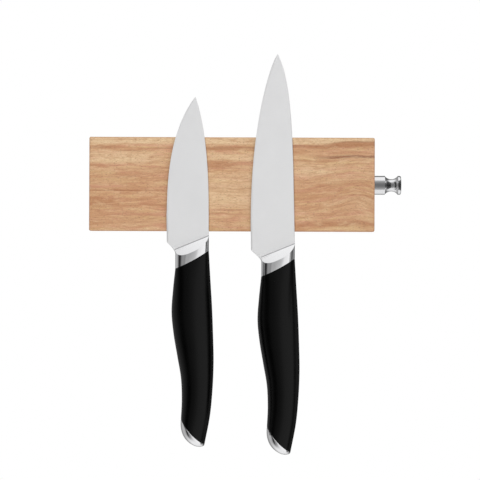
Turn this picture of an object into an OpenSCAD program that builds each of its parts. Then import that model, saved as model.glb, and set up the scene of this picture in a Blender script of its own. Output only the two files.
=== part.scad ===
// Magnetic wall rack for two kitchen knives, with a paring knife and a utility knife on it.
// X runs along the rack, Z is up, and the wall is the plane y = 0, so everything stands out towards -Y.
// The origin lies on the wall plane, midway between the two keyholes that hang the rack.

/* [Board] */
// Length of the wooden board
board_w = 178.5; // [176:0.5:220]
// Height of the wooden board
board_h = 58.8; // [58:0.2:80]
// Thickness of the wooden board
board_t = 18; // [17.5:0.5:24]
// Width of the eased edges
ease = 0.7; // [0.3:0.1:1.5]
// Wood left in front of the magnets
skin_t = 3; // [2:0.5:5]

/* [Magnets] */
// Diameter of a magnet
magnet_d = 20; // [15:0.5:20]
// Thickness of a magnet
magnet_t = 5; // [3:0.5:5]
// Distance between magnet centres
magnet_pitch = 24; // [22:0.5:24]
// Thickness of the steel yoke plate behind the magnets
yoke_t = 2; // [1.5:0.5:3]

/* [Wall fixing] */
// Thickness of the hanger plate
hanger_t = 1.5; // [1.2:0.1:2]
// Distance between the two keyholes
keyhole_pitch = 120; // [60:1:120]
// Diameter of the round entry of a keyhole
keyhole_d = 9; // [8.5:0.1:9.5]
// Width of the slot of a keyhole
slot_w = 4.6; // [4.2:0.1:5]
// Height of the slot's end above the entry's centre
slot_rise = 8; // [6:0.5:8]
// Diameter of a wall pad
pad_d = 8; // [6:0.5:8]
// How far the pads hold the board off the wall
pad_proud = 0.5; // [0.3:0.1:0.8]

/* [Peg] */
// Diameter of the peg's barrel and lip
peg_d = 11.8; // [10:0.1:14]
// Length of the peg outside the board
peg_len = 17; // [16:0.5:20]
// Diameter of the peg's waist
waist_d = 7.6; // [6.5:0.1:8]
// Length of the plain barrel before the waist
barrel_len = 6.8; // [5:0.1:6.8]
// Diameter of the stud inside the peg
stud_d = 5; // [4:0.5:5]

/* [Knives] */
// Place of the paring knife along the board
paring_x = -25; // [-45:0.5:-20]
// Height of the paring knife's blade root
paring_z = -37; // [-45:0.5:-36]
// Place of the utility knife along the board
utility_x = 28.7; // [20:0.1:45]
// Height of the utility knife's blade root
utility_z = -41.7; // [-50:0.1:-38]
// Thickness of a blade at its spine
blade_t = 2; // [1.6:0.1:2.4]
// Gap between a blade and the wood
blade_gap = 0.1; // [0.1:0.05:0.5]

/* [Handle] */
// Thickness of the bolster
bolster_t = 12; // [11:0.5:14]
// Thickness of the grip at its belly
belly_t = 19.5; // [16:0.5:20]
// Thickness of the grip at its butt
butt_t = 14.5; // [13:0.5:17]
// Squareness of the bolster's section, where 2 is an ellipse
bolster_power = 2.4; // [2.2:0.1:3]
// Squareness of the section of the grip past the bolster, and of the end cap
grip_power = 1.9; // [1.8:0.05:2.4]
// How far the joint between bolster and grip bows towards the butt
root_bow = 0.7; // [0:0.1:1.5]
// How far the joint between grip and end cap bows towards the butt
joint_bow = 1.4; // [0:0.1:2]

/* [Hidden] */
$fn = 64;
eps = 0.01;
far = 100;                   // past everything on a knife, for the shapes that cut it

// Planes of the rack, counted from the wall
back_y = -pad_proud;
front_y = back_y - board_t;
magnet_y = front_y + skin_t;
yoke_y = magnet_y + magnet_t;
cavity_y = yoke_y + yoke_t;
hanger_y = back_y - hanger_t;

// Rack fittings
fit = 0.3;
magnet_count = 6;
magnet_r = magnet_d / 2;
pocket_gap = 0.2;
pocket_r = magnet_r + pocket_gap;
yoke_h = 24;
yoke_w = (magnet_count - 1) * magnet_pitch + yoke_h;
yoke_corner = 2;
yoke_screw_inset = 3;
yoke_screw_x = yoke_w / 2 - yoke_screw_inset;
yoke_screw_z = yoke_h / 2 - yoke_screw_inset;
hanger_w = 160;
hanger_h = 37;
hanger_corner = 3;
hanger_screw_x = 74;
hanger_screw_z = 15;
pad_x = 80;
pad_z = 23.8;
pad_depth = 1;
pad_gap = 0.1;
small_screw = [1, 4.5, 7];   // core radius, head diameter, length
large_screw = [1.25, 5, 8];  // core radius, head diameter, length
screw_gap = 0.2;
screw_point_r = 0.1;
recess_w = 0.9;              // arms of the cross recess, as a share of the head's radius
recess_t = 0.18;
recess_depth = 0.7;          // as a share of the head's height

// Peg and its fixing in the board's right end
peg_y = back_y - board_t / 2;
peg_r = peg_d / 2;
waist_depth = peg_r - waist_d / 2;
waist_w = 8.2;
waist_r = (waist_w * waist_w / 4 + waist_depth * waist_depth) / (2 * waist_depth);
lip_round = 0.6;
lip_crown = 0.15;
stud_in_peg = 6;
insert_r = 4;
insert_len = 10;
stud_gap = 0.05;

// Blades, drawn in the knife's own X and Z with the root at the origin. The edge faces -X.
blade_y = front_y - blade_gap - blade_t / 2;
paring_tip = [2, 91.6];
utility_tip = [-0.4, 123];
paring_edge = [paring_tip, [-17.5, 66.5], [-15, 25.5], [-15.8, 18]];
paring_spine = [paring_tip, [12, 62.5], [10.3, 20], [10.7, 4.6]];
utility_edge = [utility_tip, [-3, 121.1], [-17, 86.6], [-16.9, 17.6]];
utility_spine = [utility_tip, [10, 103.6], [9.3, 58.1], [10.7, 4.6]];
blade_steps = 16;
wedge_x = [-18, 12];         // where a blade has its edge thickness and its spine thickness
edge_half_t = 0.2;
tip_half_t = 0.5;
heel_top = [0.25, 1.3];      // foot of the cutting edge, in X from the end of its curve
heel_corner = [0.45, 0.5];   // start of the choil, the curve that leads back to the bolster
choil_share = 0.45;          // how far it leaves the heel at 45 degrees, as a share of its width
choil_rise = 2.1;            // how far it runs along the bolster before it ends
choil_steps = 8;
neck = [6, 10];              // joins the blade to its tang
neck_low = -6;
tang_w = 8;
tang_len = 75;
tang_x = 0.5;

// Handle, in the same axes. Both sides are drawn from the bolster to the end cap.
root_edge = [-10.2, -4.6];
root_back = [10.7, 4.6];
heel_end = [-10.2, -6.8];
edge_side = [
  [-10.2, -15.8], [-11.6, -29.5], [-12.4, -43], [-11.1, -56.5],
  [-8.7, -70.5], [-6.4, -84], [-5.8, -97.5], [-6.3, -109.8]
];
back_side = [
  [10.7, -4.4], [11.8, -22.5], [12.9, -40], [13.6, -57],
  [14, -74], [13.4, -91], [11.8, -108], [8.5, -125.4]
];
thickness = [
  bolster_t, belly_t - 3, belly_t - 0.5, belly_t,
  belly_t - 0.5, (belly_t + butt_t) / 2, butt_t + 0.7, butt_t
];
butt_edge = [edge_side[7], [-7.2, -118.4], [-4, -124.2], [3.5, -126.8]];
butt_back = [back_side[7], [8.3, -126.5], [7, -127.2], [3.5, -126.8]];
ramp_angle = 44;
ramp_start = blade_t / 2 + 0.1;
bolster_z = [-20, 10];       // a length that holds the bolster before it is cut
core_t = 8;
core_inset = 0.16;
core_end = 0.94;
spur_r = 2.5;
spur_x = 2;
spur_top = -100;
spur_foot = -121;
ring_sides = 28;
grip_steps = 20;
cap_steps = 7;

// A point of the cubic curve with four control points
function cubic(p, t) =
  pow(1 - t, 3) * p[0] + 3 * pow(1 - t, 2) * t * p[1] + 3 * (1 - t) * t * t * p[2] + pow(t, 3) * p[3];

// A value of the smooth curve that passes through every entry of p, for t from 0 to 1
function through(p, t) =
  let (
    last = len(p) - 1,
    s = min(max(t, 0), 1) * last,
    i = min(floor(s), last - 1),
    f = s - i,
    a = i == 0 ? 2 * p[0] - p[1] : p[i - 1],
    b = p[i],
    c = p[i + 1],
    d = i + 2 > last ? 2 * p[last] - p[last - 1] : p[i + 2]
  )
  0.5 * (2 * b + (c - a) * f + (2 * a - 5 * b + 4 * c - d) * f * f + (3 * b - a - 3 * c + d) * f * f * f);

function signed_pow(v, e) = sign(v) * pow(abs(v), e);

// Width and thickness shares of point i of a ring round a section of squareness q
function section(i, q) =
  let (a = 360 * i / ring_sides)
  [signed_pow(cos(a), 2 / q), signed_pow(sin(a), 2 / q)];

// The point at w, from -1 to 1, of the line from edge point l to back point r that bows down by b
function bowed(l, r, b, w) =
  let (half = (r - l) / 2, down = [half[1], -half[0]] / norm(half))
  (l + r) / 2 + half * w + down * b * (1 - w * w);

// A ring of points across the handle between edge point l and back point r, t thick, bowed by b
function ring(l, r, t, b, q) = [
  for (i = [0 : ring_sides - 1])
    let (s = section(i, q), p = bowed(l, r, b, s[0]))
    [p[0], t / 2 * s[1], p[1]]
];

// The grip leaves the bolster flush, with the bolster's own section, and soon takes its own
function grip_ring(v) = ring(through(edge_side, v), through(back_side, v), through(thickness, v),
  joint_bow * pow(v, 6) + root_bow * pow(1 - v, 6),
  grip_power + (bolster_power - grip_power) * pow(1 - v, 12));

function cap_ring(w) = ring(cubic(butt_edge, w), cubic(butt_back, w), butt_t * (1 - w * w),
  joint_bow * (1 - w), grip_power);

// Faces that join two neighbouring rings, from the ring numbered k
function wall_faces(k) = [
  for (i = [0 : ring_sides - 1])
    let (a = k * ring_sides + i, b = k * ring_sides + (i + 1) % ring_sides)
    each [[a, b, b + ring_sides], [a, b + ring_sides, a + ring_sides]]
];

// Faces that close a ring whose points pair up front to back, as strips along Y
function end_faces(k, flip) = [
  for (i = [0 : ring_sides / 2 - 1])
    let (
      n = ring_sides,
      a = k * n + i,
      b = k * n + i + 1,
      c = k * n + (n - i - 1) % n,
      d = k * n + (n - i) % n
    )
    each [
      if (b != c) flip ? [a, c, b] : [a, b, c],
      if (a != d) flip ? [a, d, c] : [a, c, d]
    ]
];

// ---- Rack ----

// A block with every edge cut back by c, from corner a to corner b
module eased_block(a, b, c) {
  s = b - a;
  translate(a) intersection() {
    rotate([90, 0, 90]) linear_extrude(s[0]) eased_rectangle(s[1], s[2], c);
    mirror([0, 1, 0]) rotate([90, 0, 0]) linear_extrude(s[1]) eased_rectangle(s[0], s[2], c);
    linear_extrude(s[2]) eased_rectangle(s[0], s[1], c);
  }
}

module eased_rectangle(w, h, c) {
  polygon([[c, 0], [w - c, 0], [w, c], [w, h - c], [w - c, h], [c, h], [0, h - c], [0, c]]);
}

// A plate in the XZ plane with round corners, from y = y0 to y = y1
module round_plate(w, h, r, y0, y1) {
  translate([-w / 2 + r, y0, -h / 2]) cube([w - 2 * r, y1 - y0, h]);
  translate([-w / 2, y0, -h / 2 + r]) cube([w, y1 - y0, h - 2 * r]);
  for (x = [-1, 1], z = [-1, 1])
    translate([x * (w / 2 - r), y1, z * (h / 2 - r)]) rotate([90, 0, 0]) cylinder(y1 - y0, r, r);
}

// A disc of radius r at the place of the magnet numbered i, from y = y0 to y = y1
module magnet_disc(i, r, y0, y1) {
  x = (i - (magnet_count + 1) / 2) * magnet_pitch;
  translate([x, y1, 0]) rotate([90, 0, 0]) cylinder(y1 - y0, r, r);
}

module at_corners(x, z) {
  for (i = [-1, 1], k = [-1, 1])
    translate([i * x, 0, k * z]) children();
}

module at_hanger_screws() {
  at_corners(hanger_screw_x, hanger_screw_z) children();
  for (k = [-1, 1])
    translate([0, 0, k * hanger_screw_z]) children();
}

// The hole for a countersunk screw whose head is flush with the plane y = 0, towards -Y
module countersink(s, depth) {
  r = s[1] / 2;
  rotate([90, 0, 0]) {
    translate([0, 0, -eps]) cylinder(depth + 2 * eps, s[0] + screw_gap, s[0] + screw_gap);
    translate([0, 0, -eps]) cylinder(r - s[0] + eps, r + eps, s[0]);
  }
}

module pilot(s) {
  rotate([90, 0, 0]) cylinder(s[2], s[0], s[0]);
}

module wood_screw(s) {
  r = s[1] / 2;
  head = r - s[0];
  point = 2 * s[0];
  rotate([90, 0, 0]) difference() {
    union() {
      cylinder(head, r, s[0]);
      cylinder(s[2] - point, s[0], s[0]);
      translate([0, 0, s[2] - point]) cylinder(point, s[0], screw_point_r);
    }
    for (a = [0, 90])
      rotate(a) translate([-recess_w * r / 2, -recess_t * r / 2, -eps])
        cube([recess_w * r, recess_t * r, recess_depth * head]);
  }
}

module board() {
  color("burlywood") difference() {
    eased_block([-board_w / 2, front_y, -board_h / 2], [board_w / 2, back_y, board_h / 2], ease);
    for (i = [1 : magnet_count])
      magnet_disc(i, pocket_r, magnet_y, back_y);
    round_plate(yoke_w + 2 * fit, yoke_h + 2 * fit, yoke_corner, yoke_y, back_y + eps);
    round_plate(hanger_w + 2 * fit, hanger_h + 2 * fit, hanger_corner + fit, hanger_y, back_y + eps);
    translate([0, yoke_y, 0]) at_corners(yoke_screw_x, yoke_screw_z) pilot(small_screw);
    translate([0, hanger_y, 0]) at_hanger_screws() pilot(large_screw);
    at_corners(pad_x, pad_z) translate([0, back_y - pad_depth, 0])
      rotate([-90, 0, 0]) cylinder(pad_depth + eps, pad_d / 2 + pad_gap, pad_d / 2 + pad_gap);
    translate([board_w / 2 - insert_len, peg_y, 0])
      rotate([0, 90, 0]) cylinder(insert_len + eps, insert_r, insert_r);
  }
}

module magnet(i) {
  color("silver") magnet_disc(i, magnet_r, magnet_y, yoke_y);
}

module yoke_plate() {
  color("gray") difference() {
    round_plate(yoke_w, yoke_h, yoke_corner, yoke_y, cavity_y);
    translate([0, cavity_y, 0]) at_corners(yoke_screw_x, yoke_screw_z) countersink(small_screw, yoke_t);
  }
}

module yoke_screws() {
  color("lightsteelblue") translate([0, cavity_y, 0])
    at_corners(yoke_screw_x, yoke_screw_z) wood_screw(small_screw);
}

// The keyhole opens downwards: the screw head enters the round end and the rack drops onto its shank
module keyhole() {
  translate([0, back_y + eps, 0]) rotate([90, 0, 0]) {
    cylinder(hanger_t + 2 * eps, keyhole_d / 2, keyhole_d / 2);
    translate([0, slot_rise - slot_w / 2, 0]) cylinder(hanger_t + 2 * eps, slot_w / 2, slot_w / 2);
    translate([-slot_w / 2, 0, 0]) cube([slot_w, slot_rise - slot_w / 2, hanger_t + 2 * eps]);
  }
}

module hanger_plate() {
  color("silver") difference() {
    round_plate(hanger_w, hanger_h, hanger_corner, hanger_y, back_y);
    for (x = [-1, 1])
      translate([x * keyhole_pitch / 2, 0, 0]) keyhole();
    translate([0, back_y, 0]) at_hanger_screws() countersink(large_screw, hanger_t);
  }
}

module hanger_screws() {
  color("lightsteelblue") translate([0, back_y, 0]) at_hanger_screws() wood_screw(large_screw);
}

module wall_pad(x, z) {
  color("gainsboro") translate([x * pad_x, 0, z * pad_z])
    rotate([90, 0, 0]) cylinder(pad_depth + pad_proud, pad_d / 2, pad_d / 2);
}

// ---- Peg ----

module peg_blank() {
  rotate_extrude() difference() {
    polygon([
      [0, 0], [peg_r, 0], [peg_r, peg_len - lip_round], [peg_r - lip_round, peg_len - lip_crown],
      [peg_r / 2, peg_len], [0, peg_len]
    ]);
    translate([peg_r - waist_depth + waist_r, barrel_len + waist_w / 2]) circle(waist_r);
  }
}

module peg() {
  color("silver") translate([board_w / 2, peg_y, 0]) rotate([0, 90, 0]) difference() {
    peg_blank();
    translate([0, 0, -eps]) cylinder(stud_in_peg + eps, stud_d / 2 + stud_gap, stud_d / 2 + stud_gap);
  }
}

module peg_stud() {
  color("gray") translate([board_w / 2 - insert_len, peg_y, 0])
    rotate([0, 90, 0]) cylinder(insert_len + stud_in_peg, stud_d / 2, stud_d / 2);
}

module peg_insert() {
  color("goldenrod") translate([board_w / 2 - insert_len, peg_y, 0]) rotate([0, 90, 0])
    difference() {
      cylinder(insert_len, insert_r, insert_r);
      translate([0, 0, -eps])
        cylinder(insert_len + 2 * eps, stud_d / 2 + stud_gap, stud_d / 2 + stud_gap);
    }
}

// ---- Knives ----

// Extrudes an outline drawn in X and Z by t, centred on the knife's own plane
module slab(t) {
  rotate([90, 0, 0]) linear_extrude(t, center = true) children();
}

module blade_outline(edge, spine) {
  heel = [edge[3][0] + heel_corner[0], heel_corner[1]];
  lead = choil_share * (heel_end[0] - heel[0]);
  choil = [heel, heel + [lead, -lead], heel_end + [0, choil_rise], heel_end];
  polygon(concat(
    [for (i = [0 : blade_steps]) cubic(edge, i / blade_steps)],
    [[edge[3][0] + heel_top[0], heel_top[1]]],
    [for (i = [0 : choil_steps]) cubic(choil, i / choil_steps)],
    [root_edge, root_back],
    [for (i = [blade_steps - 1 : -1 : 1]) cubic(spine, i / blade_steps)]
  ));
}

module blade(edge, spine) {
  tip = edge[0];
  intersection() {
    slab(blade_t) blade_outline(edge, spine);
    translate([0, 0, -far]) linear_extrude(far + tip[1] + 1)
      polygon([[wedge_x[0], -edge_half_t], [wedge_x[1], -blade_t / 2],
        [wedge_x[1], blade_t / 2], [wedge_x[0], edge_half_t]]);
    rotate([90, 0, 90]) linear_extrude(far, center = true)
      polygon([[-blade_t / 2, -far], [blade_t / 2, -far], [blade_t / 2, 0], [tip_half_t, tip[1]],
        [-tip_half_t, tip[1]], [-blade_t / 2, 0]]);
  }
  slab(edge_half_t * 2) translate([tang_x - neck[0] / 2, neck_low]) square(neck);
  tang(blade_t);
}

// The tang, cut off at the slanted root of the blade
module tang(t) {
  slab(t) intersection() {
    polygon([root_edge, root_back, [far, -far], [-far, -far]]);
    translate([tang_x - tang_w / 2, -tang_len]) square([tang_w, far]);
  }
}

// Everything below the joint between bolster and grip
module below_joint() {
  polygon(concat(
    [for (i = [0 : ring_sides / 2])
      bowed(edge_side[0], back_side[0], root_bow, section(i, bolster_power)[0])],
    [2 * edge_side[0] - back_side[0], [-far, -far], [far, -far], 2 * back_side[0] - edge_side[0]]
  ));
}

// The straight body of the bolster, cut by its two ramps and by the joint with the grip
module bolster() {
  slope = atan2(root_back[1] - root_edge[1], root_back[0] - root_edge[0]);
  mid = (edge_side[0] + back_side[0]) / 2;
  half = (back_side[0] - edge_side[0]) / 2;
  reach = root_back - root_edge;
  difference() {
    translate([mid[0], 0, bolster_z[0]]) linear_extrude(bolster_z[1] - bolster_z[0])
      polygon([for (i = [0 : ring_sides - 1]) let (s = section(i, bolster_power))
        [half[0] * s[0], bolster_t / 2 * s[1]]]);
    slab(far) below_joint();
    slab(far) polygon([root_edge - reach, root_back + reach, [far, far], [-far, far]]);
    for (side = [0, 1])
      mirror([0, side, 0]) translate([root_edge[0], ramp_start, root_edge[1]])
        rotate([0, -slope, 0]) rotate([ramp_angle, 0, 0])
          translate([-far, 0, -far]) cube([2 * far, far, 2 * far]);
    tang(blade_t);
  }
}

// A point of the core's outline at the share v of the grip, at the share u of the way across it
function core_point(v, u) = through(edge_side, v) * (1 - u) + through(back_side, v) * u;

module core_outline() {
  steps = 12;
  polygon(concat(
    [for (i = [0 : steps]) core_point(core_end * i / steps, core_inset)],
    [for (i = [steps : -1 : 0]) core_point(core_end * i / steps, 1 - core_inset)]
  ));
}

module spur(r) {
  translate([spur_x, 0, spur_foot]) cylinder(spur_top - spur_foot, r, r);
}

module handle_core() {
  difference() {
    slab(core_t) intersection() {
      core_outline();
      below_joint();
    }
    tang(blade_t);
    spur(spur_r);
  }
}

module grip() {
  difference() {
    polyhedron(
      points = [for (k = [0 : grip_steps]) each grip_ring(k / grip_steps)],
      faces = concat(
        end_faces(0, false),
        [for (k = [0 : grip_steps - 1]) each wall_faces(k)],
        end_faces(grip_steps, true)
      )
    );
    slab(core_t) core_outline();
    spur(spur_r);
  }
}

module end_cap() {
  apex = cubic(butt_edge, 1);
  top = cap_steps * ring_sides;
  polyhedron(
    points = concat(
      [for (k = [0 : cap_steps - 1]) each cap_ring(k / cap_steps)],
      [[apex[0], 0, apex[1]]]
    ),
    faces = concat(
      end_faces(0, false),
      [for (k = [0 : cap_steps - 2]) each wall_faces(k)],
      [for (i = [0 : ring_sides - 1]) [top - ring_sides + i, top - ring_sides + (i + 1) % ring_sides, top]]
    )
  );
  spur(spur_r);
}

module at_paring() {
  translate([paring_x, blade_y, paring_z]) children();
}

module at_utility() {
  translate([utility_x, blade_y, utility_z]) children();
}

module paring_blade() {
  color("gainsboro") at_paring() blade(paring_edge, paring_spine);
}

module utility_blade() {
  color("gainsboro") at_utility() blade(utility_edge, utility_spine);
}

board();
magnet(1);  // magnet_1
magnet(2);  // magnet_2
magnet(3);  // magnet_3
magnet(4);  // magnet_4
magnet(5);  // magnet_5
magnet(6);  // magnet_6
yoke_plate();
yoke_screws();
hanger_plate();
hanger_screws();
wall_pad(-1, -1);  // wall_pad_1
wall_pad(1, -1);  // wall_pad_2
wall_pad(-1, 1);  // wall_pad_3
wall_pad(1, 1);  // wall_pad_4
peg();
peg_stud();
peg_insert();
paring_blade();
color("silver") at_paring() bolster();  // paring_bolster
color("dimgray") at_paring() handle_core();  // paring_core
color("black") at_paring() grip();  // paring_grip
color("silver") at_paring() end_cap();  // paring_end_cap
utility_blade();
color("silver") at_utility() bolster();  // utility_bolster
color("dimgray") at_utility() handle_core();  // utility_core
color("black") at_utility() grip();  // utility_grip
color("silver") at_utility() end_cap();  // utility_end_cap
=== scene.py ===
"""Looks for the magnetic knife rack: fine meshes, materials, studio light and camera round the CAD frame."""

import math

import bmesh
import bpy
from mathutils import Matrix, Vector

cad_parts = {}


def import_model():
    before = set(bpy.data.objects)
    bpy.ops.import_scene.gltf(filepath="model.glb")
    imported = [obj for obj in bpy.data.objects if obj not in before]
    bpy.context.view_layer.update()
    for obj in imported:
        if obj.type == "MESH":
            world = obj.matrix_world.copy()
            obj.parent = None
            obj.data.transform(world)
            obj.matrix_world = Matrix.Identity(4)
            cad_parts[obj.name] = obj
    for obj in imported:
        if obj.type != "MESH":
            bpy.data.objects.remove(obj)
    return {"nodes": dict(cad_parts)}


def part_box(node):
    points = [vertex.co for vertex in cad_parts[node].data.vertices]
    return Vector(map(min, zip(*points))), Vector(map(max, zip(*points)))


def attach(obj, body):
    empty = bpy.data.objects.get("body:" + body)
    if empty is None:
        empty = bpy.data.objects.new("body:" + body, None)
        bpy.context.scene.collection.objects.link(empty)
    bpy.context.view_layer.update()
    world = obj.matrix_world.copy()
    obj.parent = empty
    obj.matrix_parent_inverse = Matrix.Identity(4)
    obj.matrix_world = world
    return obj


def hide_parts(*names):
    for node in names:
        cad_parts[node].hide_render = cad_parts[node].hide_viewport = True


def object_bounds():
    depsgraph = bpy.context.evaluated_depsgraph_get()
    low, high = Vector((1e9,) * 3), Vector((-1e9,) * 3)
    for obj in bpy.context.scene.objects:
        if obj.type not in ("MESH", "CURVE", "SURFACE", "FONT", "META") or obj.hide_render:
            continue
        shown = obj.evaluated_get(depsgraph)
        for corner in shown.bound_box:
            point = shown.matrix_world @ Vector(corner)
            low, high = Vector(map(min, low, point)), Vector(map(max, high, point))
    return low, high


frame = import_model()
cad_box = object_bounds()
scene = bpy.context.scene
nodes = frame["nodes"]

MM = 0.001

# ---------------------------------------------------------------- knife shapes, in the knife's own mm
# X runs from the cutting edge to the spine, Z up the blade, and the root of the blade is at the origin.

ROOT_EDGE = Vector((-10.2, -4.6))
ROOT_BACK = Vector((10.7, 4.6))
HEEL_TOP = Vector((0.25, 1.3))
HEEL_CORNER = Vector((0.45, 0.5))
HEEL_END = Vector((-10.2, -6.8))
CHOIL_SHARE = 0.45
CHOIL_RISE = 2.1
# Corners of the blade's root that the bolster hides, below the end of the choil and inside the back.
HIDDEN_EDGE = Vector((-9.5, -7.6))
HIDDEN_BACK = Vector((10.0, 3.0))
BLADES = {
    "paring": {
        "edge": [(2, 91.6), (-17.5, 66.5), (-15, 25.5), (-15.8, 18)],
        "spine": [(2, 91.6), (12, 62.5), (10.3, 20), (10.7, 4.6)],
    },
    "utility": {
        "edge": [(-0.4, 123), (-3, 121.1), (-17, 86.6), (-16.9, 17.6)],
        "spine": [(-0.4, 123), (10, 103.6), (9.3, 58.1), (10.7, 4.6)],
    },
}
EDGE_SIDE = [
    (-10.2, -15.8), (-11.6, -29.5), (-12.4, -43), (-11.1, -56.5),
    (-8.7, -70.5), (-6.4, -84), (-5.8, -97.5), (-6.3, -109.8),
]
BACK_SIDE = [
    (10.7, -4.4), (11.8, -22.5), (12.9, -40), (13.6, -57),
    (14, -74), (13.4, -91), (11.8, -108), (8.5, -125.4),
]
THICKNESS = [12, 16.5, 19, 19.5, 19, 17, 15.2, 14.5]
BOLSTER_POWER = 2.4
GRIP_POWER = 1.9
BUTT_EDGE = [EDGE_SIDE[-1], (-7.2, -118.4), (-4, -124.2), (3.5, -126.8)]
BUTT_BACK = [BACK_SIDE[-1], (8.3, -126.5), (7, -127.2), (3.5, -126.8)]
ROOT_BOW = 0.7
JOINT_BOW = 1.4
RAMP_ANGLE = math.radians(44)
RAMP_START = 1.1
SPINE_HALF = 1.0
TIP_HALF = 0.2
EDGE_HALF = 0.24
EDGE_HALF_ROOT = 0.45
# Width of the cutting bevel and radius of the eased rim: at the very tip, and what they gain over TIP_FADE.
BEVEL_TIP = 0.12
BEVEL_W = 0.8
RIM_TIP = 0.08
RIM_R = 0.2
TIP_FADE = 9
FILLET_R = 1.0
FILLET_PROUD = 0.01
BOLSTER_EASE = 0.4
SIDES = 128


def cubic(p, t):
    """A point of the cubic curve with four control points."""
    a, b, c, d = (Vector(q) for q in p)
    s = 1 - t
    return a * s ** 3 + b * 3 * s * s * t + c * 3 * s * t * t + d * t ** 3


def through(p, t):
    """A value of the smooth curve that passes through every entry of p, for t from 0 to 1."""
    q = [Vector(v) if hasattr(v, "__len__") else Vector((v, 0)) for v in p]
    last = len(q) - 1
    s = min(max(t, 0), 1) * last
    i = min(int(s), last - 1)
    f = s - i
    a = 2 * q[0] - q[1] if i == 0 else q[i - 1]
    b = q[i]
    c = q[i + 1]
    d = 2 * q[last] - q[last - 1] if i + 2 > last else q[i + 2]
    v = 0.5 * (2 * b + (c - a) * f + (2 * a - 5 * b + 4 * c - d) * f ** 2 + (3 * b - a - 3 * c + d) * f ** 3)
    return v if hasattr(p[0], "__len__") else v.x


def section(turn, power):
    """Width and thickness shares of the handle's section at that share of a turn."""
    c = math.cos(turn * math.tau)
    s = math.sin(turn * math.tau)
    return (
        math.copysign(abs(c) ** (2 / power), c),
        math.copysign(abs(s) ** (2 / power), s),
    )


def bowed(left, right, bow, w):
    """The point at w, from -1 to 1, of the line from left to right that bows down by bow."""
    half = (right - left) / 2
    down = Vector((half.y, -half.x)).normalized()
    return (left + right) / 2 + half * w + down * bow * (1 - w * w)


def ring(left, right, thick, bow, power):
    """Points across the handle between its edge side and its back, thick apart in Y."""
    points = []
    for i in range(SIDES):
        w, t = section(i / SIDES, power)
        p = bowed(left, right, bow, w)
        points.append((p.x, thick / 2 * t, p.y))
    return points


def grip_ring(v, inset):
    """The grip's section at the share v of its length, drawn in by inset mm."""
    left = through(EDGE_SIDE, v)
    right = through(BACK_SIDE, v)
    across = (right - left).normalized() * inset
    bow = JOINT_BOW * v ** 6 + ROOT_BOW * (1 - v) ** 6
    thick = through(THICKNESS, v) - 2 * inset
    power = GRIP_POWER + (BOLSTER_POWER - GRIP_POWER) * (1 - v) ** 12
    return ring(left + across, right - across, thick, bow, power)


def cap_ring(w, inset):
    """The end cap's section at the share w of the way to its apex."""
    left = cubic(BUTT_EDGE, w)
    right = cubic(BUTT_BACK, w)
    across = (right - left).normalized() * inset
    thick = THICKNESS[-1] * (1 - w * w) - 2 * inset
    return ring(left + across, right - across, thick, JOINT_BOW * (1 - w), GRIP_POWER)


# ---------------------------------------------------------------- mesh helpers


def finish_mesh(name, bm, place, sharp=35, flat=()):
    """Turns bm, in mm about place, into an object in metres. Edges that turn by more than sharp degrees and
    the rims of the flat faces stay crisp, and everything else is smooth."""
    bmesh.ops.recalc_face_normals(bm, faces=bm.faces)
    bm.normal_update()
    for face in bm.faces:
        face.smooth = True
    for e in bm.edges:
        e.smooth = len(e.link_faces) == 2 and e.calc_face_angle(0) < math.radians(sharp)
    for face in flat:
        for e in face.edges:
            e.smooth = False
    bm.transform(Matrix.Translation(place) @ Matrix.Scale(MM, 4))
    mesh = bpy.data.meshes.new(name)
    bm.to_mesh(mesh)
    bm.free()
    obj = bpy.data.objects.new(name, mesh)
    scene.collection.objects.link(obj)
    return obj


def quad(name, corners):
    """A sheet with four corners, in metres."""
    mesh = bpy.data.meshes.new(name)
    mesh.from_pydata(corners, [], [(0, 1, 2, 3)])
    obj = bpy.data.objects.new(name, mesh)
    scene.collection.objects.link(obj)
    return obj


def add_rings(bm, rings):
    """A closed wall through rings of equal length. Returns the rings' vertices."""
    made = [[bm.verts.new(p) for p in r] for r in rings]
    n = len(made[0])
    for a, b in zip(made, made[1:]):
        for i in range(n):
            j = (i + 1) % n
            bm.faces.new((a[i], a[j], b[j], b[i]))
    return made


def close_ring(bm, verts):
    """Closes a ring whose points pair up front to back with strips along Y."""
    n = len(verts)
    for i in range(n // 2):
        quad = [verts[i], verts[i + 1], verts[(n - i - 1) % n], verts[(n - i) % n]]
        corners = list(dict.fromkeys(quad))
        bm.faces.new(corners)


def bevel_sharp(bm, width, angle, segments):
    """Rounds every edge of bm that turns by more than angle degrees."""
    limit = math.radians(angle)
    edges = [e for e in bm.edges if len(e.link_faces) == 2 and e.calc_face_angle(0) > limit]
    bmesh.ops.bevel(
        bm, geom=edges, offset=width, segments=segments, profile=0.5, affect="EDGES", clamp_overlap=True
    )


def cut_plane(bm, point, normal):
    """Removes what lies on the normal's side of a plane and closes the cut."""
    geom = bm.verts[:] + bm.edges[:] + bm.faces[:]
    cut = bmesh.ops.bisect_plane(
        bm, geom=geom, dist=1e-5, plane_co=point, plane_no=normal, clear_outer=True
    )
    edges = [e for e in cut["geom_cut"] if isinstance(e, bmesh.types.BMEdge)]
    bmesh.ops.contextual_create(bm, geom=edges)


def softened_copy(node, name, width):
    """A copy of a CAD node's own mesh with its sharp edges rounded by width mm and its broad faces flat."""
    bm = bmesh.new()
    bm.from_mesh(nodes[node].data)
    bm.transform(Matrix.Scale(1 / MM, 4))
    bmesh.ops.remove_doubles(bm, verts=bm.verts, dist=0.001)
    bmesh.ops.dissolve_limit(bm, angle_limit=math.radians(0.5), verts=bm.verts, edges=bm.edges)
    bevel_sharp(bm, width, 30, 2)
    broad = [f for f in bm.faces if f.calc_area() > f.calc_perimeter()]
    return finish_mesh(name, bm, Vector(), flat=broad)


# ---------------------------------------------------------------- material helpers


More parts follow.
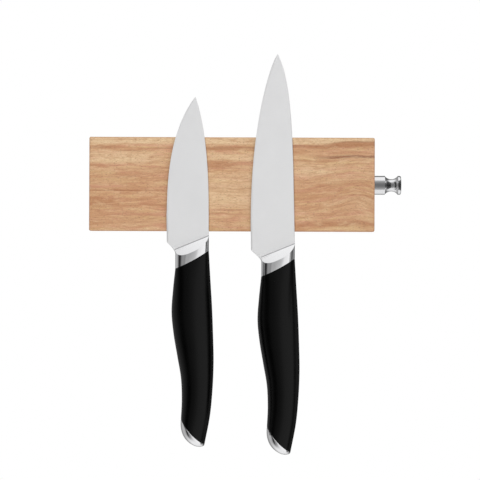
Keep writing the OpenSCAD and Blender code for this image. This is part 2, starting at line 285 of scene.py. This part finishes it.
class Shader:
    """A short way to write a node tree: every call adds one node and links what it is given."""

    def __init__(self, name):
        self.material = bpy.data.materials.new(name)
        self.material.use_nodes = True
        self.tree = self.material.node_tree
        self.surface = self.tree.nodes["Principled BSDF"]

    def add(self, kind, inputs=None, **settings):
        node = self.tree.nodes.new(kind)
        for key, value in settings.items():
            setattr(node, key, value)
        for key, value in (inputs or {}).items():
            self.put(node.inputs[key], value)
        return node

    def put(self, socket, value):
        if isinstance(value, bpy.types.NodeSocket):
            self.tree.links.new(value, socket)
        else:
            socket.default_value = value

    def position(self, scale):
        """The place on the object in mm, times scale along each axis."""
        place = self.add("ShaderNodeTexCoord").outputs["Object"]
        return self.add(
            "ShaderNodeVectorMath",
            {0: place, 1: tuple(s / MM for s in scale)},
            operation="MULTIPLY",
        ).outputs["Vector"]

    def noise(self, vector, detail=3.0, rough=0.5):
        return self.add(
            "ShaderNodeTexNoise",
            {"Vector": vector, "Scale": 1.0, "Detail": detail, "Roughness": rough},
        ).outputs["Fac"]

    def math(self, operation, a, b=0.0):
        return self.add("ShaderNodeMath", {0: a, 1: b}, operation=operation).outputs[0]

    def spread(self, value, low, high, to_low=0.0, to_high=1.0):
        """value from low..high stretched smoothly to to_low..to_high."""
        return self.add(
            "ShaderNodeMapRange",
            {0: value, 1: low, 2: high, 3: to_low, 4: to_high},
            interpolation_type="SMOOTHSTEP",
        ).outputs[0]

    def mix(self, share, a, b):
        node = self.add("ShaderNodeMix", data_type="RGBA")
        self.put(node.inputs[0], share)
        self.put(node.inputs[6], a)
        self.put(node.inputs[7], b)
        return node.outputs[2]

    def bump(self, height, distance, strength=1.0):
        return self.add(
            "ShaderNodeBump", {"Height": height, "Distance": distance * MM, "Strength": strength}
        ).outputs["Normal"]

    def set(self, **values):
        for key, value in values.items():
            self.put(self.surface.inputs[key.replace("_", " ")], value)
        return self.material


def rgb(r, g, b):
    """A colour given as 0..255 screen values."""
    def linear(c):
        c /= 255
        return c / 12.92 if c <= 0.04045 else ((c + 0.055) / 1.055) ** 2.4

    return (linear(r), linear(g), linear(b), 1.0)


# ---------------------------------------------------------------- materials

# Where the board's grain arches up, how wide and high the arch is, and how far it reaches up and down,
# in mm.
ARCH_X = 78
ARCH_Z = -6
ARCH_HALF = 14
ARCH_RISE = 7.5
ARCH_REACH = 14

# Reddish figure in the board: height in the grain, half width, start and end along the board, and share of
# colour.
STREAKS = [
    (22.7, 1.3, -95, -76, 0.50),
    (21.2, 0.7, -70, -56, 0.40),
    (22.3, 0.6, -50, -40, 0.45),
    (11.6, 0.8, -95, -74, 0.60),
    (2.0, 8.0, -95, -40, 0.16),
    (9.8, 0.8, -52, -34, 0.55),
    (4.6, 0.6, -76, -56, 0.30),
    (-4.2, 0.6, -95, -34, 0.80),
    (-11.5, 3.8, -98, -72, 0.60),
    (-13.0, 0.9, -72, -40, 0.50),
    (-22.0, 4.0, -95, -44, 0.30),
    (22.3, 1.4, -22, 22, 0.60),
    (11.6, 1.8, -18, 2, 0.70),
    (-3.0, 0.5, -18, 16, 0.40),
    (-16.5, 0.5, -20, 14, 0.35),
    (23.6, 1.2, 30, 66, 0.60),
    (24.8, 1.4, 58, 95, 0.85),
    (-8.0, 12.0, 50, 95, 0.14),
    (14.4, 0.7, 30, 66, 0.45),
    (-3.4, 0.9, 48, 95, 0.30),
    (-13.0, 0.8, 58, 95, 0.30),
    (-25.6, 0.9, 34, 95, 0.55),
]
# Dark brown figure, in the same terms.
DARK = [
    (24.0, 0.4, 32, 62, 0.35),
    (26.2, 0.5, 66, 95, 0.45),
    (16.9, 1.1, 56, 95, 0.80),
    (22.6, 0.4, -20, 22, 0.35),
    (22.8, 0.5, -90, -78, 0.40),
    (20.8, 0.4, -70, -56, 0.40),
    (22.2, 0.4, -48, -38, 0.45),
    (4.8, 0.5, -72, -60, 0.30),
    (-4.2, 0.3, -92, -60, 0.30),
]
# Pale figure, in the same terms.
PALE = [
    (27.8, 3.0, -95, 95, 0.75),
    (16.5, 3.4, -90, -48, 0.62),
    (8.6, 4.0, 38, 62, 0.50),
    (-15.2, 1.2, 64, 95, 0.30),
    (16.5, 2.4, -22, 24, 0.55),
    (-6.0, 9.0, -22, 26, 0.55),
    (4.0, 3.0, -22, 26, 0.40),
]
RING_PITCH = 2.3
# Width of the band of painted shade along the board's edges, in mm.
SHADED_RIM_WIDTH = 0.9


def wood():
    """Pale acacia, flat sawn: grain along the board that arches over low on the right, growth rings, dark
    and pale figure, fine fibres and short pores, and painted shade: a darker rim along the board's edges."""
    s = Shader("acacia")
    x, y, z = s.add("ShaderNodeSeparateXYZ", {0: s.position((1, 1, 1))}).outputs
    off = s.math("DIVIDE", s.math("SUBTRACT", x, ARCH_X), ARCH_HALF)
    bend = s.math("DIVIDE", 1.0, s.math("ADD", 1.0, s.math("MULTIPLY", off, off)))
    away = s.math("DIVIDE", s.math("SUBTRACT", z, ARCH_Z), ARCH_REACH)
    low = s.math("POWER", math.e, s.math("MULTIPLY", s.math("MULTIPLY", away, away), -1.0))
    arch = s.math("MULTIPLY", s.math("MULTIPLY", bend, low), -ARCH_RISE)
    tilt = s.math("MULTIPLY", s.math("ADD", y, 18), 0.22)
    drift = s.noise(s.position((1 / 34, 1 / 30, 1 / 12)), detail=2)
    ripple = s.noise(s.position((1 / 11, 1 / 11, 1 / 3)), detail=2)
    grain = s.math("ADD", s.math("ADD", z, arch), tilt)
    grain = s.math("ADD", grain, s.math("MULTIPLY", s.math("SUBTRACT", drift, 0.5), 3.2))
    grain = s.math("ADD", grain, s.math("MULTIPLY", s.math("SUBTRACT", ripple, 0.5), 1.3))
    place = s.add("ShaderNodeCombineXYZ", {0: x, 1: y, 2: grain}).outputs[0]

    def marks(length, height, detail, rough, shift=0.0):
        """Noise that follows the grain, in marks of that length and height in mm."""
        scaled = s.add(
            "ShaderNodeVectorMath",
            {0: place, 1: (1 / length, 1 / height, 1 / height), 2: (shift, shift, shift)},
            operation="MULTIPLY_ADD",
        ).outputs["Vector"]
        return s.noise(scaled, detail=detail, rough=rough)

    def figure(rows):
        """How strongly the listed figure shows, from 0 to 1."""
        total = 0.0
        for height, half, start, end, share in rows:
            away = s.math("ABSOLUTE", s.math("SUBTRACT", grain, height))
            near = s.spread(away, half * 0.5, half * 1.4, share, 0.0)
            begun = s.spread(x, start - 8, start + 10)
            left = s.spread(x, end - 8, end + 10, 1.0, 0.0)
            total = s.math("MAXIMUM", total, s.math("MULTIPLY", s.math("MULTIPLY", near, begun), left))
        return total

    straw = rgb(229, 201, 150)
    pale = rgb(237, 211, 171)
    honey = rgb(222, 184, 145)
    tan = rgb(207, 160, 121)
    rose = rgb(212, 156, 129)
    red = rgb(176, 120, 84)
    umber = rgb(134, 88, 66)
    colour = s.mix(s.spread(marks(60, 14, 2, 0.6), 0.35, 0.65), tan, honey)
    colour = s.mix(s.spread(marks(30, 3, 3, 0.6, 7.0), 0.46, 0.66, 0.0, 0.62), colour, straw)
    colour = s.mix(s.spread(marks(26, 2.6, 3, 0.6, 19.0), 0.46, 0.66, 0.0, 0.8), colour, rose)
    colour = s.mix(s.spread(marks(45, 2.6, 4, 0.6, 3.0), 0.44, 0.7, 0.0, 0.3), colour, red)
    ring_phase = s.math("ADD", s.math("DIVIDE", grain, RING_PITCH), s.math("MULTIPLY", drift, 1.5))
    late = s.spread(s.math("FRACT", ring_phase), 0.35, 0.97)
    shown = s.spread(marks(26, 3, 2, 0.5, 31.0), 0.40, 0.68, 0.0, 0.20)
    colour = s.mix(s.math("MULTIPLY", late, shown), colour, red)
    colour = s.mix(figure(PALE), colour, pale)
    colour = s.mix(figure(STREAKS), colour, red)
    colour = s.mix(figure(DARK), colour, umber)
    lines = marks(7, 0.95, 4, 0.7)
    colour = s.mix(s.spread(lines, 0.48, 0.70, 0.0, 0.50), colour, red)
    colour = s.mix(s.spread(lines, 0.32, 0.50, 0.42, 0.0), colour, pale)
    threads = s.math("ABSOLUTE", s.math("SUBTRACT", marks(30, 2.4, 2, 0.5, 11.0), 0.5))
    colour = s.mix(s.spread(threads, 0.004, 0.035, 0.30, 0.0), colour, red)
    fibre = s.noise(s.position((1 / 3.2, 1 / 0.5, 1 / 0.5)), detail=4, rough=0.7)
    colour = s.mix(s.spread(fibre, 0.38, 0.66, 0.0, 0.45), colour, tan)
    dash = s.noise(s.position((1 / 1.3, 1 / 0.32, 1 / 0.32)), detail=2, rough=0.5)
    pores = s.spread(dash, 0.55, 0.72, 0.0, 0.52)
    colour = s.mix(pores, colour, umber)
    # Painted shade: the colour darkens towards red over the rim width at each edge of the board.
    low_corner, high_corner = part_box("board")
    for axis, value in ((0, x), (2, z)):
        middle = (low_corner[axis] + high_corner[axis]) / 2 / MM
        reach = (high_corner[axis] - low_corner[axis]) / 2 / MM
        out = s.math("ABSOLUTE", s.math("SUBTRACT", value, middle))
        colour = s.mix(s.spread(out, reach - SHADED_RIM_WIDTH, reach - SHADED_RIM_WIDTH / 3, 0.0, 0.35), colour, red)
    height = s.math("SUBTRACT", s.math("MULTIPLY", fibre, 0.5), pores)
    s.put(s.surface.inputs["Normal"], s.bump(height, 0.04, 0.5))
    return s.set(Base_Color=colour, Roughness=s.spread(fibre, 0.3, 0.7, 0.5, 0.66), Specular_IOR_Level=0.25)


def metal(name, colour, roughness, grain, bump=0.004, wear=0.06, spread=0.08, brushed=0.0, turned_about=None,
          metallic=1.0):
    """Steel or brass with a fine directional finish: grain is the length of its marks in mm along X, Y, Z.
    brushed is how far the finish draws reflections out across its marks."""
    s = Shader(name)
    marks = s.noise(s.position(tuple(1 / g for g in grain)), detail=4, rough=0.6)
    patches = s.noise(s.position((1 / 14,) * 3), detail=3, rough=0.5)
    dark = tuple(c * (1 - wear) for c in colour[:3]) + (1,)
    shade = s.math("ADD", s.math("MULTIPLY", marks, 0.6), s.math("MULTIPLY", patches, 0.4))
    s.put(s.surface.inputs["Normal"], s.bump(marks, bump))
    if turned_about:
        s.put(s.surface.inputs["Tangent"], s.add("ShaderNodeTangent", axis=turned_about).outputs[0])
    return s.set(
        Base_Color=s.mix(s.spread(shade, 0.35, 0.65), dark, colour),
        Roughness=s.spread(shade, 0.3, 0.7, roughness - spread / 2, roughness + spread / 2),
        Metallic=metallic,
        Anisotropic=brushed,
        Anisotropic_Rotation=0.25,
    )


def plastic(name, colour, roughness, grain=0.35, bump=0.01, specular=0.3):
    """Moulded plastic with a fine spark-eroded texture."""
    s = Shader(name)
    texture = s.noise(s.position((1 / grain,) * 3), detail=3, rough=0.6)
    cloud = s.noise(s.position((1 / 18,) * 3), detail=2)
    lighter = tuple(c * 1.5 for c in colour[:3]) + (1,)
    s.put(s.surface.inputs["Normal"], s.bump(texture, bump))
    return s.set(
        Base_Color=s.mix(s.spread(cloud, 0.35, 0.65), colour, lighter),
        Roughness=s.spread(cloud, 0.3, 0.7, roughness - 0.03, roughness + 0.03),
        Specular_IOR_Level=specular,
    )


WOOD = wood()
BLADE = metal("satin_blade", (0.895, 0.895, 0.90, 1), 0.45, (5.0, 0.05, 0.12), bump=0.001, wear=0.03,
              brushed=0.6, metallic=0.5)
EDGE = metal("ground_edge", (0.93, 0.95, 0.98, 1), 0.35, (0.5, 0.05, 0.12), bump=0.001, wear=0.02,
             metallic=0.6)
POLISHED = metal("polished_steel", (0.78, 0.78, 0.79, 1), 0.09, (0.5, 0.5, 2.0), bump=0.0006, wear=0.03,
                 spread=0.04)
PEG = metal("turned_steel", (0.74, 0.74, 0.75, 1), 0.15, (0.06, 5, 5), bump=0.0008, wear=0.05, spread=0.04,
            brushed=0.6, turned_about="X")
GRIP = plastic("satin_black_grip", (0.0006, 0.0006, 0.0006, 1), 0.26, bump=0.0015, specular=0.155)
CORE = plastic("black_core", (0.02, 0.02, 0.021, 1), 0.5)
ZINC = metal("zinc_plate", (0.66, 0.67, 0.69, 1), 0.36, (9, 0.2, 0.2), bump=0.003, wear=0.18, spread=0.12,
             metallic=0.6)
BRIGHT_ZINC = metal("screw_zinc", (0.66, 0.66, 0.69, 1), 0.25, (0.4, 0.4, 0.4), bump=0.003, wear=0.15)
MILD = metal("mild_steel", (0.36, 0.37, 0.38, 1), 0.42, (12, 0.3, 0.3), bump=0.004, wear=0.3, spread=0.2)
NICKEL = metal("nickel_plate", (0.66, 0.64, 0.60, 1), 0.18, (1.5, 1.5, 1.5), bump=0.001, wear=0.1)
BRASS = metal("brass", (0.80, 0.58, 0.26, 1), 0.24, (0.1, 3, 3), bump=0.002, wear=0.15)
PAD = plastic("grey_silicone", (0.30, 0.31, 0.31, 1), 0.45, grain=0.6, bump=0.02, specular=0.4)


def dress(obj, *materials):
    """Gives an object its materials in order."""
    obj.data.materials.clear()
    for m in materials:
        obj.data.materials.append(m)
    return obj


# ---------------------------------------------------------------- knives


def ground_rim(width, half):
    """Insets and heights from a blade's front face round its cutting edge to its back face."""
    return [(width, -half), (width * 0.6, -half * 0.6), (width * 0.25, -half * 0.25), (0, 0),
            (width * 0.25, half * 0.25), (width * 0.6, half * 0.6), (width, half)]


def round_rim(r, half):
    """The same round an edge that is eased by the radius r."""
    k = r * (1 - math.sqrt(0.5))
    return [(r, -half), (k, k - half), (0, r - half), (0, 0), (0, half - r), (k, half - k), (r, half)]


def blade_mesh(edge, spine):
    """A flat-ground blade: two planes that part towards the spine, a narrow cutting bevel along the edge
    and an eased rim everywhere else."""
    tip = Vector(edge[0])
    root = Vector(edge[3])
    slope_x = (SPINE_HALF - EDGE_HALF) / (ROOT_BACK.x - root.x)
    slope_z = (TIP_HALF - SPINE_HALF - slope_x * (tip.x - ROOT_BACK.x)) / (tip.y - ROOT_BACK.y)

    def half(p):
        return SPINE_HALF + slope_x * (p.x - ROOT_BACK.x) + slope_z * (p.y - ROOT_BACK.y)

    heel = Vector((root.x + HEEL_CORNER.x, HEEL_CORNER.y))
    sharp = [cubic(edge, i / 48) for i in range(49)] + [Vector((root.x + HEEL_TOP.x, HEEL_TOP.y))]
    lead = CHOIL_SHARE * (HEEL_END.x - heel.x)
    choil_curve = [heel, heel + Vector((lead, -lead)), HEEL_END + Vector((0, CHOIL_RISE)), HEEL_END]
    choil = [cubic(choil_curve, i / 24) for i in range(25)]
    backs = [cubic(spine, i / 48) for i in range(48, 0, -1)]
    outline = sharp + choil + [HIDDEN_EDGE, HIDDEN_BACK] + backs

    bm = bmesh.new()
    columns = []
    for i, p in enumerate(outline):
        along = (outline[(i + 1) % len(outline)] - outline[i - 1]).normalized()
        inward = Vector((-along.y, along.x))
        room = min(1.0, (p - tip).length / TIP_FADE)
        if i < len(sharp):
            width = BEVEL_TIP + BEVEL_W * room
            rim = ground_rim(width, half(p + inward * width))
        else:
            r = RIM_TIP + RIM_R * room
            rim = round_rim(r, half(p + inward * r))
        columns.append([bm.verts.new((p.x + inward.x * d, y, p.y + inward.y * d)) for d, y in rim])
    flat = [bm.faces.new([c[0] for c in columns]), bm.faces.new([c[-1] for c in columns])]
    for i, a in enumerate(columns):
        b = columns[(i + 1) % len(columns)]
        for k in range(len(a) - 1):
            face = bm.faces.new((a[k], b[k], b[k + 1], a[k + 1]))
            face.material_index = int(i < len(sharp))
    return bm, flat


def bolster_mesh():
    """The bolster: a straight body of the handle's section with a ramp down to each face of the blade."""
    left = Vector(EDGE_SIDE[0])
    right = Vector(BACK_SIDE[0])
    mid = (left + right) / 2
    half = (right - left) / 2
    outline = [section(i / SIDES, BOLSTER_POWER) for i in range(SIDES)]
    past_joint = -20
    past_root = 8
    rings = [
        [(mid.x + half.x * w, THICKNESS[0] / 2 * t, z) for w, t in outline] for z in (past_joint, past_root)
    ]
    bm = bmesh.new()
    made = add_rings(bm, rings)
    for verts in made:
        bm.faces.new(verts)
    across = (ROOT_BACK - ROOT_EDGE).normalized()
    up = Vector((-across.y, 0, across.x))
    cuts = 24
    joint = [bowed(left, right, ROOT_BOW, 2 * i / cuts - 1) for i in range(cuts + 1)]
    for a, b in zip(joint, joint[1:]):
        cut_plane(bm, Vector((a.x, 0, a.y)), Vector((b.y - a.y, 0, a.x - b.x)).normalized())
    cut_plane(bm, Vector((ROOT_EDGE.x, 0, ROOT_EDGE.y)), up)
    for sign in (-1, 1):
        normal = up * math.sin(RAMP_ANGLE) + Vector((0, sign * math.cos(RAMP_ANGLE), 0))
        cut_plane(bm, Vector((ROOT_EDGE.x, sign * RAMP_START, ROOT_EDGE.y)), normal)
    bevel_sharp(bm, BOLSTER_EASE, 22, 5)
    for sign in (-1, 1):
        add_fillet(bm, up, sign)
    return bm


def add_fillet(bm, up, sign):
    """The hollow fillet between a face of the blade and the ramp on its side, as a sliver of its own."""
    sunk = 0.4
    tangent = FILLET_R * math.tan(RAMP_ANGLE / 2)
    ends = []
    for end, half in ((ROOT_EDGE, EDGE_HALF_ROOT), (ROOT_BACK, SPINE_HALF)):
        corner = (RAMP_START - half) / math.tan(RAMP_ANGLE)
        top = corner + tangent
        profile = [(top, half - 0.1)]
        for i in range(9):
            a = RAMP_ANGLE * i / 8
            rise = FILLET_R * (1 - math.cos(a))
            profile.append((top - FILLET_R * math.sin(a), half + FILLET_PROUD + rise))
        profile.append((-sunk, RAMP_START + sunk * math.tan(RAMP_ANGLE) - 0.05))
        profile.append((-sunk, half - 0.1))
        base = Vector((end.x, 0, end.y))
        ends.append([base + up * u + Vector((0, sign * out, 0)) for u, out in profile])
    made = add_rings(bm, ends)
    for verts in made:
        bm.faces.new(verts)


def grip_mesh():
    """The grip, a loft from the bolster to the end cap with softly rounded rims."""
    steps = 110
    rims = [(0.0, 0.3), (0.0008, 0.1), (0.0026, 0.0)]
    start = rims[-1][0]
    stations = rims + [(start + (1 - 2 * start) * i / steps, 0.0) for i in range(1, steps)]
    stations += [(1 - v, inset) for v, inset in reversed(rims)]
    bm = bmesh.new()
    made = add_rings(bm, [grip_ring(v, inset) for v, inset in stations])
    close_ring(bm, made[0])
    close_ring(bm, made[-1])
    return bm


def cap_mesh():
    """The end cap, a pillow that closes the butt."""
    steps = 40
    start = 0.025
    end = 0.99
    stations = [(0.0, 0.3), (0.008, 0.1), (start, 0.0)]
    stations += [(start + (end - start) * (i / steps), 0.0) for i in range(1, steps + 1)]
    bm = bmesh.new()
    made = add_rings(bm, [cap_ring(w, inset) for w, inset in stations])
    close_ring(bm, made[0])
    apex = cubic(BUTT_EDGE, 1)
    top = bm.verts.new((apex.x, 0, apex.y))
    for i in range(SIDES):
        bm.faces.new((made[-1][i], made[-1][(i + 1) % SIDES], top))
    return bm


def knife(name):
    """One whole knife, placed by its CAD nodes."""
    blade_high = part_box(name + "_blade")[1]
    bolster_low, bolster_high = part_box(name + "_bolster")
    place = Vector((
        bolster_low.x - EDGE_SIDE[0][0] * MM,
        (bolster_low.y + bolster_high.y) / 2,
        blade_high.z - BLADES[name]["edge"][0][1] * MM,
    ))
    blade, flat = blade_mesh(**BLADES[name])
    parts = {
        "blade": (blade, flat, "blade_steel", (BLADE, EDGE)),
        "bolster": (bolster_mesh(), (), "bolster_steel", (POLISHED,)),
        "grip": (grip_mesh(), (), "grip_plastic", (GRIP,)),
        "end_cap": (cap_mesh(), (), "cap_steel", (POLISHED,)),
    }
    for part, (bm, flats, slot, materials) in parts.items():
        node = name + "_" + part
        obj = dress(finish_mesh(node + "_fine", bm, place, 50, flats), *materials)
        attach(obj, name + "_knife")
        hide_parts(node)
    dress(nodes[name + "_core"], CORE)


knife("paring")
knife("utility")


# ---------------------------------------------------------------- rack


def fine_copy(node, material, width):
    """Replaces a CAD node by a copy of itself with rounded edges. Polished steel doesn't mirror the wood."""
    obj = dress(softened_copy(node, node + "_fine", width), material)
    obj.visible_glossy = material is not WOOD
    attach(obj, "rack")
    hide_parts(node)
    return obj


def peg_mesh():
    """The turned peg, spun from its profile about the X axis through its own box."""
    low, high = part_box("peg")
    length = (high.x - low.x) / MM
    radius = (high.z - low.z) / 2 / MM
    barrel = 6.8
    waist = 8.2
    waist_radius = 3.8
    chamfer = 0.25
    steps = 24
    depth = radius - waist_radius
    curve = (waist * waist / 4 + depth * depth) / (2 * depth)
    swing = math.asin(waist / 2 / curve)
    profile = [(0.0, radius - chamfer), (chamfer, radius)]
    for i in range(steps + 1):
        a = -swing + 2 * swing * i / steps
        along = barrel + waist / 2 + curve * math.sin(a)
        profile.append((along, radius + curve - depth - curve * math.cos(a)))
    profile += [(length - 0.7, radius), (length - 0.35, radius - 0.15), (length - 0.1, radius - 0.5)]
    profile += [(length - 0.03, radius * 0.8), (length, radius * 0.4)]
    turns = [i / SIDES * math.tau for i in range(SIDES)]
    bm = bmesh.new()
    rings = [[(x, r * math.cos(turn), r * math.sin(turn)) for turn in turns] for x, r in profile]
    made = add_rings(bm, rings)
    bm.faces.new(made[0])
    bm.faces.new(made[-1])
    place = Vector((low.x, (low.y + high.y) / 2, (low.z + high.z) / 2))
    return bm, place


def rack():
    """The board with its fittings and the peg."""
    fine_copy("board", WOOD, 0.25)
    fine_copy("hanger_plate", ZINC, 0.12)
    peg = dress(finish_mesh("peg_fine", *peg_mesh(), sharp=40), PEG)
    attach(peg, "rack")
    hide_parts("peg")
    kept = {
        "yoke_plate": MILD,
        "yoke_screws": BRIGHT_ZINC,
        "hanger_screws": BRIGHT_ZINC,
        "peg_stud": MILD,
        "peg_insert": BRASS,
    }
    for node, material in kept.items():
        dress(nodes[node], material)
    for i in range(1, 7):
        dress(nodes["magnet_%d" % i], NICKEL)
    for i in range(1, 5):
        fine_copy("wall_pad_%d" % i, PAD, 0.2)


rack()

# ---------------------------------------------------------------- studio

# How bright the studio is at eye level, by azimuth: 0 is the camera's side, 90 the viewer's right.
HORIZON = [
    (-180, 0.28), (-140, 0.36), (-115, 0.60), (-84, 0.50), (-72, 0.20), (-62, 0.04),
    (-55, 0.02), (-47, 0.05), (-40, 0.26), (-30, 0.34), (-21, 0.30), (-13, 0.54),
    (-4, 0.66), (6, 0.85), (22, 1.0), (40, 1.1), (74, 1.15),
    (80, 0.12), (92, 0.12), (100, 0.45), (125, 0.14), (180, 0.08),
]
HORIZON_PEAK = 1.25
CAMERA_PATCH = 0.28
CEILING = 1.15
GROUND = 1.05
# Width of the square lights, in metres.
LIGHT_SIZE = 0.25
# Cards in front of the peg: where they start and end from its middle in X and Y, half their height, and how
# bright they are at mid-height and at their upper and lower edges.
FLAGS = [
    ("grey_card", (-0.02, -0.05), (0.012, -0.05), 0.08, 0.19, 0.62),
    ("black_card", (0.012, -0.05), (0.055, -0.005), 0.06, 0.02, 0.16),
]


def world():
    """A white studio for the camera. What the steel reflects is softer: bright screens on the right, above
    and below, darker ones on the left, and a dim patch behind the camera."""
    w = bpy.data.worlds.new("studio")
    scene.world = w
    w.use_nodes = True
    tree = w.node_tree
    tree.nodes.clear()

    def add(kind, inputs, **settings):
        node = tree.nodes.new(kind)
        for key, value in settings.items():
            setattr(node, key, value)
        for key, value in inputs.items():
            if isinstance(value, bpy.types.NodeSocket):
                tree.links.new(value, node.inputs[key])
            else:
                node.inputs[key].default_value = value
        return node

    def share(value, low, high, top=1.0):
        """0 below low and top above high, with a soft step between."""
        inputs = {0: value, 1: low, 2: high, 3: 0.0, 4: top}
        return add("ShaderNodeMapRange", inputs, interpolation_type="SMOOTHSTEP").outputs[0]

    def calc(operation, x, y):
        return add("ShaderNodeMath", {0: x, 1: y}, operation=operation).outputs[0]

    direction = tree.nodes.new("ShaderNodeTexCoord").outputs["Generated"]
    x, y, z = add("ShaderNodeSeparateXYZ", {0: direction}).outputs
    front = calc("MULTIPLY", y, -1.0)
    turn = calc("ARCTAN2", x, front)
    place = calc("ADD", calc("DIVIDE", turn, math.tau), 0.5)
    screens = tree.nodes.new("ShaderNodeValToRGB")
    tree.links.new(place, screens.inputs["Fac"])
    spots = screens.color_ramp.elements
    for azimuth, level in HORIZON[1:-1]:
        spots.new(azimuth / 360 + 0.5)
    for spot, (azimuth, level) in zip(spots, HORIZON):
        spot.color = (level / HORIZON_PEAK,) * 3 + (1,)
    horizon = calc("MULTIPLY", screens.outputs["Color"], HORIZON_PEAK)
    horizon = calc("MULTIPLY", horizon, calc("SUBTRACT", 1.0, share(front, 0.95, 0.999, CAMERA_PATCH)))
    up = share(z, 0.66, 0.97)
    down = share(calc("MULTIPLY", z, -1.0), 0.35, 0.95)
    level = calc("ADD", calc("MULTIPLY", horizon, calc("SUBTRACT", 1.0, calc("ADD", up, down))),
                 calc("ADD", calc("MULTIPLY", up, CEILING), calc("MULTIPLY", down, GROUND)))
    light = add("ShaderNodeBackground", {"Color": (1, 1, 1, 1), "Strength": level}).outputs[0]
    plain = add("ShaderNodeBackground", {"Color": (1, 1, 1, 1), "Strength": 1.0}).outputs[0]
    seen = tree.nodes.new("ShaderNodeLightPath").outputs["Is Camera Ray"]
    final = add("ShaderNodeMixShader", {0: seen, 1: light, 2: plain}).outputs[0]
    out = tree.nodes.new("ShaderNodeOutputWorld")
    tree.links.new(final, out.inputs["Surface"])


def area_light(name, place, power):
    """A soft square light aimed at the origin. It shades the object and doesn't show in the steel."""
    data = bpy.data.lights.new(name, "AREA")
    data.size = LIGHT_SIZE
    data.energy = power
    obj = bpy.data.objects.new(name, data)
    obj.location = place
    obj.rotation_mode = "QUATERNION"
    obj.rotation_quaternion = (-Vector(place)).to_track_quat("-Z", "Y")
    obj.visible_camera = False
    obj.visible_glossy = False
    scene.collection.objects.link(obj)


def studio_floor():
    """A plain pale floor, well under the rack."""
    half = 0.75
    drop = 0.12
    z = cad_box[0].z - drop
    floor = quad("floor", [(-half, -half, z), (half, -half, z), (half, half, z), (-half, half, z)])
    s = Shader("pale_floor")
    cloud = s.noise(s.position((1 / 120,) * 3), detail=2)
    s.set(Base_Color=s.mix(cloud, (0.86, 0.86, 0.86, 1), (0.9, 0.9, 0.9, 1)), Roughness=0.7)
    dress(floor, s.material)
    floor.visible_glossy = False


def flag_cards():
    """Two cards in front of the peg, seen only in reflections, that give it its grey band and dark core."""
    low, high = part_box("peg")
    mid = (low + high) / 2
    for name, start, end, half, level, edge_level in FLAGS:
        low_edge = [mid + Vector((x, y, -half)) for x, y in (start, end)]
        high_edge = [mid + Vector((x, y, half)) for x, y in (end, start)]
        card = quad(name, low_edge + high_edge)
        s = Shader(name)
        height = s.add("ShaderNodeSeparateXYZ", {0: s.position((1, 1, 1))}).outputs["Z"]
        off = s.math("ABSOLUTE", s.math("SUBTRACT", height, mid.z / MM))
        glow = s.spread(off, 0, half / MM, level, edge_level)
        s.set(Base_Color=(0, 0, 0, 1), Specular_IOR_Level=0.0, Emission_Color=(1, 1, 1, 1),
              Emission_Strength=glow)
        dress(card, s.material)
        card.visible_camera = False
        card.visible_diffuse = False
        card.visible_shadow = False


def camera():
    """Straight on, level with the middle of the knives, 0.3 m of the board's plane across the picture."""
    board_low, board_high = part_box("board")
    board_mid = (board_low + board_high) / 2
    lens = 150.0
    sensor = 36.0
    width = 0.300
    aim_right = 0.00517
    aim_down = 0.0348
    roll = math.radians(0.23)
    distance = width * lens / sensor
    data = bpy.data.cameras.new("camera")
    data.lens = lens
    data.sensor_width = sensor
    data.clip_start = 0.05
    data.clip_end = 20
    obj = bpy.data.objects.new("camera", data)
    obj.location = (board_mid.x + aim_right, board_low.y - distance, board_mid.z - aim_down)
    obj.rotation_euler = (math.pi / 2, -roll, 0)
    scene.collection.objects.link(obj)
    scene.camera = obj


world()
area_light("key", (-0.5, -1.2, 0.4), 4.9)
area_light("back_fill", (0.5, 1.2, 0.4), 9)
studio_floor()
flag_cards()
camera()
scene.view_settings.view_transform = "Standard"
scene.view_settings.look = "None"
